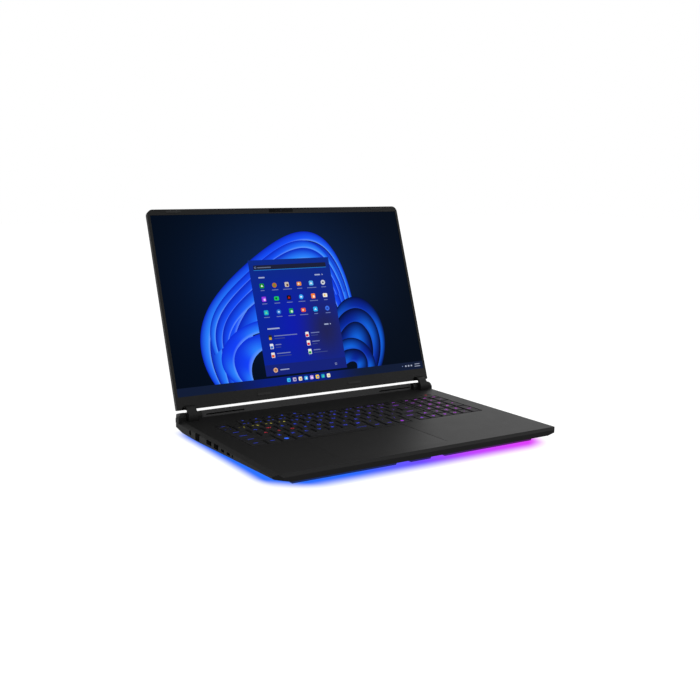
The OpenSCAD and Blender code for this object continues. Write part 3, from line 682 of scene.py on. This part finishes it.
def backdrop():
    """night-blue field, brighter in the middle"""
    nx, ny = 60, 38
    vs, cs, fs = [], [], []
    for j in range(ny + 1):
        for i in range(nx + 1):
            u, v = (i / nx - 0.5) * SW, j / ny * SH
            d = math.hypot((u + 5) / 150, (v - 150) / 120)
            t = math.exp(-d * d * 1.7)
            c = lerp(lin((2, 10, 24)), lin((13, 37, 76)), t)
            vs.append((u * MM, v * MM, -0.70 * MM))
            cs.append(c)
    for j in range(ny):
        for i in range(nx):
            a = j * (nx + 1) + i
            fs.append((a, a + 1, a + nx + 2, a + nx + 1))
    return vs, fs, cs


# abstract sheaves of flowing bands: each is a fan of strips between two smooth edge curves
def bez(P, t):
    n = len(P) - 1
    x = y = 0
    for i, p in enumerate(P):
        w = math.comb(n, i) * (1 - t) ** (n - i) * t ** i
        x += w * p[0]
        y += w * p[1]
    return x, y


def sheaf(vs, fs, cs, A, B, bands, z, tone, seg=64, sub=5, phase=0.0):
    """bands between edge curves A and B; tone(s, across, k) gives the colour"""
    for k in range(bands):
        b0 = len(vs)
        for i in range(seg + 1):
            s = i / seg
            ax, ay = bez(A, s)
            bx, by = bez(B, s)
            for q in range(sub + 1):
                f = q / sub
                e = ((k + f) / bands) ** 1.25
                w = e + 0.035 * math.sin(math.pi * 2 * s + k * 1.1 + phase) * math.sin(math.pi * e)
                x, y = ax + (bx - ax) * w, ay + (by - ay) * w
                x = max(-SW / 2 + 0.05, min(SW / 2 - 0.05, x))
                y = max(11.0, min(SH - 0.05, y))
                vs.append((x * MM, y * MM, (z + 0.0015 * k) * MM))
                cs.append(tone(s, f, k))
        for i in range(seg):
            for q in range(sub):
                a = b0 + i * (sub + 1) + q
                fs.append((a, a + 1, a + sub + 2, a + sub + 1))


def tone_factory(dark, mid, bright, rim, k0=0.0):
    def tone(s, f, k):
        t = (0.5 + 0.5 * math.sin(s * 7.4 + k * 1.3 + k0)) ** 1.3
        c = lerp(dark, mid, min(1, f * 1.25))
        c = lerp(c, bright, t * (f ** 1.5) * 0.95)
        if f > 0.86:
            c = lerp(c, rim, (f - 0.86) / 0.14 * 0.8)
        return c
    return tone


vs, fs, cs = backdrop()
D1, M1, B1, R1 = lin((8, 34, 186)), lin((20, 78, 250)), lin((50, 150, 255)), lin((104, 156, 255))
D2, M2, B2, R2 = lin((2, 8, 46)), lin((6, 40, 158)), lin((18, 116, 244)), lin((26, 72, 200))
# a broad wave that climbs from the lower left and breaks over the middle
sheaf(vs, fs, cs, [(-140, 11), (-172, 70), (-150, 140), (-96, 150), (-40, 176), (16, 262), (84, 250), (92, 110)],
      [(-96, 11), (-70, 50), (-96, 84), (-56, 104), (-20, 130), (30, 150), (66, 140), (66, 90)], 4, -0.69, tone_factory(D1, M1, B1, R1), 110)
sheaf(vs, fs, cs, [(-134, 50), (-150, 112), (-104, 140), (-66, 150), (-20, 200), (30, 244), (70, 204), (82, 124)],
      [(-112, 64), (-104, 92), (-84, 110), (-52, 120), (-10, 150), (30, 176), (58, 160), (66, 120)], 3, -0.685, tone_factory(D1, M1, B1, R1, 1.5), 110)
sheaf(vs, fs, cs, [(-112, 11), (-146, 44), (-112, 84), (-60, 92)], [(-84, 11), (-88, 30), (-78, 46), (-60, 52)], 2, -0.672,
      tone_factory(lin((10, 46, 214)), lin((18, 66, 250)), B1, R1, 0.6), 70)
# a lower, darker swell on the right
sheaf(vs, fs, cs, [(60, 96), (88, 132), (126, 122), (146, 84), (142, 44), (122, 11)], [(60, 40), (82, 62), (92, 56), (98, 40), (98, 26), (94, 11)], 3, -0.68,
      tone_factory(D2, M2, B2, R2, 2.4), 80)
sheaf(vs, fs, cs, [(60, 52), (84, 64), (104, 50), (112, 36), (112, 22), (112, 11)], [(60, 16), (70, 24), (78, 24), (82, 20), (82, 16), (80, 11)], 2, -0.668,
      tone_factory(D2, M2, B2, R2, 0.4), 60)
o = obj_from("screen_backdrop", vs, fs, SCR, LID, cs)
o.visible_diffuse = o.visible_glossy = False
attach(o, "lid")

# plain launcher window, task strip, colour tiles and bars in place of words
U = Flat()
zp = -0.640
px0, px1, py0, py1 = -64.2, 63.6, 14.0, 176.0
W1, W2, GREY = lin((158, 170, 204)), lin((112, 130, 178)), lin((60, 66, 90))
nx, ny = 16, 20
b0 = len(U.v)
for j in range(ny + 1):
    for i in range(nx + 1):
        u, v = px0 + (px1 - px0) * i / nx, py0 + (py1 - py0) * j / ny
        a, c = i / nx, j / ny
        t = math.exp(-(((u - 40) / 34) ** 2 + ((v - 72) / 46) ** 2))
        col = lerp(lin((9, 36, 150)), lin((10, 26, 176)), math.exp(-((u + 8) / 30) ** 2 - ((v - 80) / 50) ** 2))
        col = lerp(col, lin((14, 44, 122)), max(0, c - 0.6) * 1.6)
        col = lerp(col, lin((34, 34, 66)), t * 0.85)
        U.v.append((u * MM, v * MM, zp * MM))
        U.c.append(col)
for j in range(ny):
    for i in range(nx):
        a = b0 + j * (nx + 1) + i
        U.f.append((a, a + 1, a + nx + 2, a + nx + 1))
z1, z2, z3 = zp + 0.02, zp + 0.035, zp + 0.05
U.rect(0, 165.3, 115, 6.6, z1, lin((26, 30, 58)), 1)
U.rect(0, 161.6, 115, 0.9, z2, lin((36, 120, 200)))
U.disc(-54.5, 165.4, 1.5, z2, W2)
U.disc(-54.5, 165.4, 0.9, z3, lin((26, 30, 58)))
U.rect(-41, 165.2, 21, 1.5, z2, lin((96, 104, 130)), 0.6)
U.rect(-47.5, 151.0, 9.5, 1.9, z2, W1, 0.7)
U.rect(41, 151.0, 9, 1.9, z2, W1, 0.7)
U.tri(49, 151.0, 1.4, 0, z2, W1)
TX = [-49 + 19.4 * i for i in range(6)]
TY = [139.4, 120.6, 101.6]
TC = [[(22, 140, 40), (176, 112, 44), (200, 190, 180), (226, 140, 60), (90, 180, 235), (205, 210, 220)],
      [(150, 60, 230), (30, 200, 90), (20, 20, 24), (50, 160, 240), (250, 130, 50), (236, 236, 230)],
      [(30, 170, 200), (40, 110, 200), (20, 150, 80), (230, 90, 50), (40, 170, 240), (60, 110, 230)]]
TI = [[(235, 245, 235), (96, 140, 50), (110, 64, 40), (240, 220, 200), (235, 240, 245), (60, 66, 90)],
      [(240, 200, 250), (14, 90, 44), (200, 20, 30), (235, 245, 255), (255, 230, 210), (240, 190, 60)],
      [(120, 230, 120), (190, 220, 250), (200, 240, 210), (255, 200, 170), (200, 235, 255), (30, 60, 160)]]
for r in range(3):
    for i in range(6):
        x, y = TX[i], TY[r]
        kind = (i + 2 * r) % 4
        col, ins = lin(TC[r][i]), lin(TI[r][i])
        if kind == 1:
            U.disc(x, y, 3.5, z2, col)
            U.rect(x, y, 3.0, 2.2, z3, ins, 0.8)
        elif kind == 2:
            U.rect(x, y, 6.4, 7.0, z2, col, 1.2)
            U.rect(x + 0.8, y - 0.8, 3.0, 3.2, z3, ins, 0.5)
        elif kind == 3:
            U.rect(x, y, 7.2, 5.6, z2, col, 1.4)
            U.disc(x - 0.6, y, 1.5, z3, ins, 14)
        else:
            U.rect(x, y, 6.8, 6.8, z2, col, 1.5)
            U.tri(x, y - 0.2, 2.1, math.pi / 2, z3, ins)
        U.rect(x, y - 6.6, [6, 10, 14, 8, 15, 8][i] if r == 0 else [6, 8, 9, 9, 11, 13][(i + r) % 6], 1.1, z2, lin((106, 120, 176)), 0.5)
U.rect(-42, 78.8, 19, 1.9, z2, W1, 0.7)
U.rect(42, 78.8, 7, 1.9, z2, W1, 0.7)
U.tri(48.5, 78.8, 1.4, 0, z2, W1)
for r in range(3):
    y = 66.6 - 12.2 * r
    for c, x in enumerate((-49, 8.6)):
        body = [(40, 40, 40), (225, 230, 240), (230, 228, 225)] if c == 0 else [(236, 236, 236), (236, 236, 236), (225, 236, 228)]
        spot = [(200, 160, 70), (60, 110, 200), (225, 90, 50)] if c == 0 else [(215, 30, 60), (215, 30, 60), (40, 150, 80)]
        U.rect(x, y, 5.2, 7.2, z2, lin(body[r]), 0.8)
        U.rect(x - 0.2, y - 1.3, 4.0, 3.4, z3, lin(spot[r]), 0.7)
        w = [36, 9, 21][r] if c == 0 else [14, 12, 11][r]
        U.rect(x + 6 + w / 2, y + 1.7, w, 1.3, z2, lin((112, 124, 176)), 0.5)
        w2 = [16, 8, 22][r] if c == 0 else [11, 8, 22][r]
        U.rect(x + 6 + w2 / 2, y - 1.9, w2, 1.0, z2, lin((62, 74, 134)), 0.4)
U.rect(-0.3, 21.6, 127.8, 15.2, z1, lin((20, 34, 120)))
U.disc(-49, 21.4, 3.3, z2, lin((226, 180, 140)))
U.disc(-49, 21.4, 2.0, z3, lin((170, 110, 80)))
U.rect(-35, 21.2, 14, 1.5, z2, lin((150, 160, 200)), 0.6)
U.frame(46.6, 21.2, 3.0, 3.0, 0.6, z2, lin((140, 150, 190)))
# task strip, bluer in the middle
n = 40
b0 = len(U.v)
for i in range(n + 1):
    u = (i / n - 0.5) * SW
    t = math.exp(-((u + 20) / 80) ** 4)
    for v in (0.0, 11.2):
        U.v.append((u * MM, v * MM, (zp + 0.005) * MM))
        U.c.append(lerp(lin((17, 28, 54)), lin((8, 30, 124)), t))
for i in range(n):
    a = b0 + 2 * i
    U.f.append((a, a + 2, a + 3, a + 1))
TB = [((60, 190, 240), (20, 120, 220)), ((180, 170, 210), (60, 50, 110)), ((236, 226, 200), (200, 140, 70)), ((70, 180, 245), (235, 245, 250)),
      ((190, 150, 240), (240, 235, 250)), ((250, 205, 70), (40, 130, 220)), ((30, 150, 200), (80, 220, 140)), ((235, 230, 215), (215, 190, 110))]
for i, (a, b2) in enumerate(TB):
    x = -31.6 + 9.0 * i
    U.rect(x, 6.0, 5.4, 5.4, z2, lin(a), 1.3)
    if i % 2:
        U.disc(x + 0.5, 5.7, 1.3, z3, lin(b2), 12)
    else:
        U.rect(x + 0.4, 5.6, 2.6, 2.2, z3, lin(b2), 0.5)
U.tri(157.5, 6.2, 1.2, math.pi / 2, z2, W2)
for x in (163.5, 168.5, 173.5):
    U.rect(x, 6.0, 2.6, 2.2, z2, lin((170, 178, 200)), 0.7)
for y, w in ((7.6, 9), (4.4, 10)):
    U.rect(184, y, w, 1.1, z2, lin((150, 158, 180)), 0.4)
o = obj_from("screen_interface", U.v, U.f, SCR, LID, U.c)
o.visible_diffuse = o.visible_glossy = False
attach(o, "lid")

# camera lens behind the dark window
L = Flat()
L.disc(0, SH + 4.2, 1.5, -0.045, g(0.004), 28)
L.disc(0, SH + 4.2, 0.8, -0.04, (0.002, 0.003, 0.012), 24)
L.disc(7.5, SH + 4.2, 0.45, -0.045, g(0.012), 14)
L.disc(-7.5, SH + 4.2, 0.45, -0.045, g(0.012), 14)


def lens_material():
    m, nt, b = new_mat("camera_lens")
    at = node(nt, "ShaderNodeAttribute", attribute_name="tint")
    v = objvec(nt)
    nt.links.new(at.outputs["Color"], b.inputs["Base Color"])
    nt.links.new(rng_map(nt, noise(nt, v, 600, 2), 0.3, 0.7, 0.16, 0.24), b.inputs["Roughness"])
    b.inputs["Specular IOR Level"].default_value = 0.05
    return m


o = obj_from("camera_lens", L.v, L.f, lens_material(), LID, L.c)
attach(o, "lid")

# ------------------------------------------------------------ slot screens, near-black sheets of painted shade, and port contacts
def boxes(name, items, mat, body, mw=BASE, bevel=0.0):
    bm = bmesh.new()
    for a, b in items:
        c = [(a[i] + b[i]) / 2 * MM for i in range(3)]
        d = [abs(b[i] - a[i]) * MM for i in range(3)]
        q = bmesh.ops.create_cube(bm, size=1.0)["verts"]
        bmesh.ops.scale(bm, vec=d, verts=q)
        bmesh.ops.translate(bm, vec=c, verts=q)
    if bevel:
        bmesh.ops.bevel(bm, geom=list(bm.edges), offset=bevel * MM, segments=2, affect="EDGES", profile=0.5)
    me = bpy.data.meshes.new(name)
    bm.to_mesh(me)
    bm.free()
    me.materials.append(mat)
    o = bpy.data.objects.new(name, me)
    scene.collection.objects.link(o)
    o.matrix_world = mw
    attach(o, body)
    return o


# near-black mesh material: painted shade in the vent slots, behind the rear grille, in the lid notches and in the
# hinge pockets
M["mesh"] = plastic("dust_mesh_painted_shade", g(0.0006), g(0.0010), 0.8, 2000, 0.01, 0.3)
M["gold"] = metal("gold_contacts", (0.60, 0.40, 0.13), (0.75, 0.52, 0.2), 0.3, (1, 1, 1), 400)
# screens behind the vent slots, near-black so the slots read as shaded: a real mesh with painted shade
items = []
for x0, x1 in ((-158.6, -103.2), (110.6, 165.6)):
    items.append(((x0, -5.28, 1.6), (x1, -5.0, 4.3)))
    n = int((x1 - x0) / 1.3)
    for i in range(n):
        x = x0 + (i + 0.5) * (x1 - x0) / n
        items.append(((x - 0.22, -5.75, 2.05), (x + 0.22, -5.2, 3.85)))
boxes("slot_mesh", items, M["mesh"], "base")
# backing inside the exhaust openings, in front of the fins
items = []
for sg in (-1, 1):
    items.append(((sg * 88, 12.2, -11.0), (sg * 170, 12.6, -0.8)))
    for i in range(30):
        x = sg * (91.5 + i * 2.6)
        items.append(((x - 0.18, 12.5, -10.6), (x + 0.18, 13.6, -1.2)))
boxes("exhaust_fins", items, M["fan"], "base")
# a near-black sheet behind the rear grille: painted shade in the grille's openings
items = [((-62, 12.2, -8.8), (62, 12.6, -4.2))]
boxes("rear_grille_backing", items, M["mesh"], "base")
# near-black blocks at both ends of each lid notch: painted shade beside the hinge arms
items = []
for sg in (-1, 1):
    for x0, x1 in ((172.7, 175.1), (187.5, 189.9)):
        items.append(((sg * x0, -16.3, -5.9), (sg * x1, -13.5, -0.9)))
boxes("notch_painted_shade", items, M["mesh"], "lid", LID)
# a thin near-black sheet in each hinge pocket, in front of the knuckle: painted shadow
items = [((sg * 174.2, -21.5, -1.45), (sg * 188.4, -19.9, -1.30)) for sg in (-1, 1)]
boxes("pocket_shadow", items, M["mesh"], "base")
# contacts in the sockets
items = []
for i in range(8):
    y = -74.2 + (i - 3.5) * 1.02
    items.append(((-194.5, y - 0.16, -3.3), (-187.0, y + 0.16, -2.95)))
for i in range(4):
    y = -129.5 + (i - 1.5) * 2.1
    items.append(((-194.2, y - 0.5, -5.52), (-188.0, y + 0.5, -5.38)))
for yy in (-112, -136):
    for i in range(4):
        y = yy + (i - 1.5) * 2.1
        items.append(((188.0, y - 0.5, -5.52), (194.2, y + 0.5, -5.38)))
boxes("port_contacts", items, M["gold"], "base")

# ------------------------------------------------------------ floor, sky and lights
FLOOR_Z = 0.0


def floor_material():
    """pale paper, with a painted pool of coloured glow and painted shade under the base's edges, standing in for the
    light that the base throws down
    """
    m, nt, b = new_mat("floor_paper_painted_pool")
    v = objvec(nt)
    sx = node(nt, "ShaderNodeSeparateXYZ")
    nt.links.new(v, sx.inputs[0])
    x, y = sx.outputs[0], sx.outputs[1]
    # how far inside the base outline, on each side
    ix = math_n(nt, "MULTIPLY", rng_map(nt, x, -0.1975, -0.180, 0.0, 1.0, True), rng_map(nt, x, 0.210, 0.185, 0.0, 1.0, True))
    iy = rng_map(nt, math_n(nt, "ADD", y, math_n(nt, "MULTIPLY", x, 0.012)), Y0 - 0.2852, Y0 - 0.2522, 0.0, 1.0, True)
    ib = rng_map(nt, y, Y0 + 0.036, Y0 - 0.012, 0.0, 1.0, True)
    # the near left corner is rounded off
    cut = rng_map(nt, math_n(nt, "ADD", x, y), -0.340, -0.300, 0.0, 1.0, True)
    cut = math_n(nt, "MULTIPLY", cut, rng_map(nt, math_n(nt, "SUBTRACT", x, y), 0.372, 0.330, 0.0, 1.0, True))
    # w: strength of the painted pool of glow and shade
    w = math_n(nt, "MULTIPLY", math_n(nt, "MULTIPLY", ix, iy), math_n(nt, "MULTIPLY", ib, cut))
    w = math_n(nt, "POWER", w, 0.9)
    tone = ramp(nt, noise(nt, v, 30, 2), [(0.3, (0.985, 0.985, 0.985)), (0.7, (1.0, 1.0, 1.0))])
    lit = glow_colour(nt, x)
    # inside the pool the paper's own colour goes to black and it emits the glow colour: painted shade and painted
    # glow
    nt.links.new(mixc(nt, w, (0.10, 0.10, 0.10), (0.0, 0.0, 0.0)), b.inputs["Base Color"])
    nt.links.new(mixc(nt, w, tone, lit), b.inputs["Emission Color"])
    # the paper sends only part of its light back up at the object
    lpn = node(nt, "ShaderNodeLightPath")
    nt.links.new(rng_map(nt, lpn.outputs["Is Camera Ray"], 0, 1, 0.55, 1.0), b.inputs["Emission Strength"])
    b.inputs["Roughness"].default_value = 0.9
    b.inputs["Specular IOR Level"].default_value = 0.0
    return m


bm = bmesh.new()
bmesh.ops.create_grid(bm, x_segments=8, y_segments=8, size=6.0)
me = bpy.data.meshes.new("floor")
bm.to_mesh(me)
bm.free()
floor = bpy.data.objects.new("floor", me)
scene.collection.objects.link(floor)
floor.location = (0, 0, -0.0002)
me.materials.append(floor_material())

world = bpy.data.worlds.new("world")
scene.world = world
world.use_nodes = True
wn = world.node_tree
wn.nodes.clear()
wo = wn.nodes.new("ShaderNodeOutputWorld")
# a white studio wall: brighter behind and to the right of the object, dim at the front
tc = wn.nodes.new("ShaderNodeTexCoord")
dot = wn.nodes.new("ShaderNodeVectorMath")
dot.operation = "DOT_PRODUCT"
dot.inputs[1].default_value = (0.92, 0.39, 0.0)
wn.links.new(tc.outputs["Generated"], dot.inputs[0])
dot2 = wn.nodes.new("ShaderNodeVectorMath")
dot2.operation = "DOT_PRODUCT"
dot2.inputs[1].default_value = (-0.50, 0.87, 0.0)
wn.links.new(tc.outputs["Generated"], dot2.inputs[0])
sz = wn.nodes.new("ShaderNodeSeparateXYZ")
wn.links.new(tc.outputs["Generated"], sz.inputs[0])
low = rng_map(wn, sz.outputs[2], 0.14, 0.36, 0.82, 1.10, True)
side = math_n(wn, "ADD", rng_map(wn, dot.outputs["Value"], 0.0, 0.35, 0.26, 0.56, True),
              rng_map(wn, dot.outputs["Value"], 0.60, 0.93, 0.0, 0.68, True))
side = math_n(wn, "ADD", side, rng_map(wn, dot2.outputs["Value"], 0.6, 1.0, 0.0, 0.26, True))
sky = math_n(wn, "ADD", math_n(wn, "MULTIPLY", side, low),
             rng_map(wn, sz.outputs[2], 0.35, 0.95, 0.0, 0.7, True))
bg = wn.nodes.new("ShaderNodeBackground")
bg.inputs["Color"].default_value = (1.0, 1.0, 1.0, 1)
wn.links.new(sky, bg.inputs["Strength"])
wall = wn.nodes.new("ShaderNodeBackground")
wall.inputs["Color"].default_value = (1.0, 1.0, 1.0, 1)
wall.inputs["Strength"].default_value = 1.0
lp = wn.nodes.new("ShaderNodeLightPath")
mx = wn.nodes.new("ShaderNodeMixShader")
wn.links.new(lp.outputs["Is Camera Ray"], mx.inputs[0])
wn.links.new(bg.outputs[0], mx.inputs[1])
wn.links.new(wall.outputs[0], mx.inputs[2])
wn.links.new(mx.outputs[0], wo.inputs[0])


def area(name, loc, target, size, power, col=(1, 1, 1), size_y=None):
    li = bpy.data.lights.new(name, "AREA")
    li.energy = power
    li.color = col
    li.size = size
    if size_y:
        li.shape = "RECTANGLE"
        li.size_y = size_y
    ob = bpy.data.objects.new(name, li)
    scene.collection.objects.link(ob)
    ob.location = loc
    ob.rotation_euler = (Vector(target) - Vector(loc)).to_track_quat("-Z", "Y").to_euler()
    return ob


area("softbox_right", (1.35, -1.25, 0.95), (0.15, 0.05, 0.12), 1.0, 9)
area("fill_front", (-1.0, -2.3, 1.15), (0.0, 0.05, 0.05), 1.6, 40)
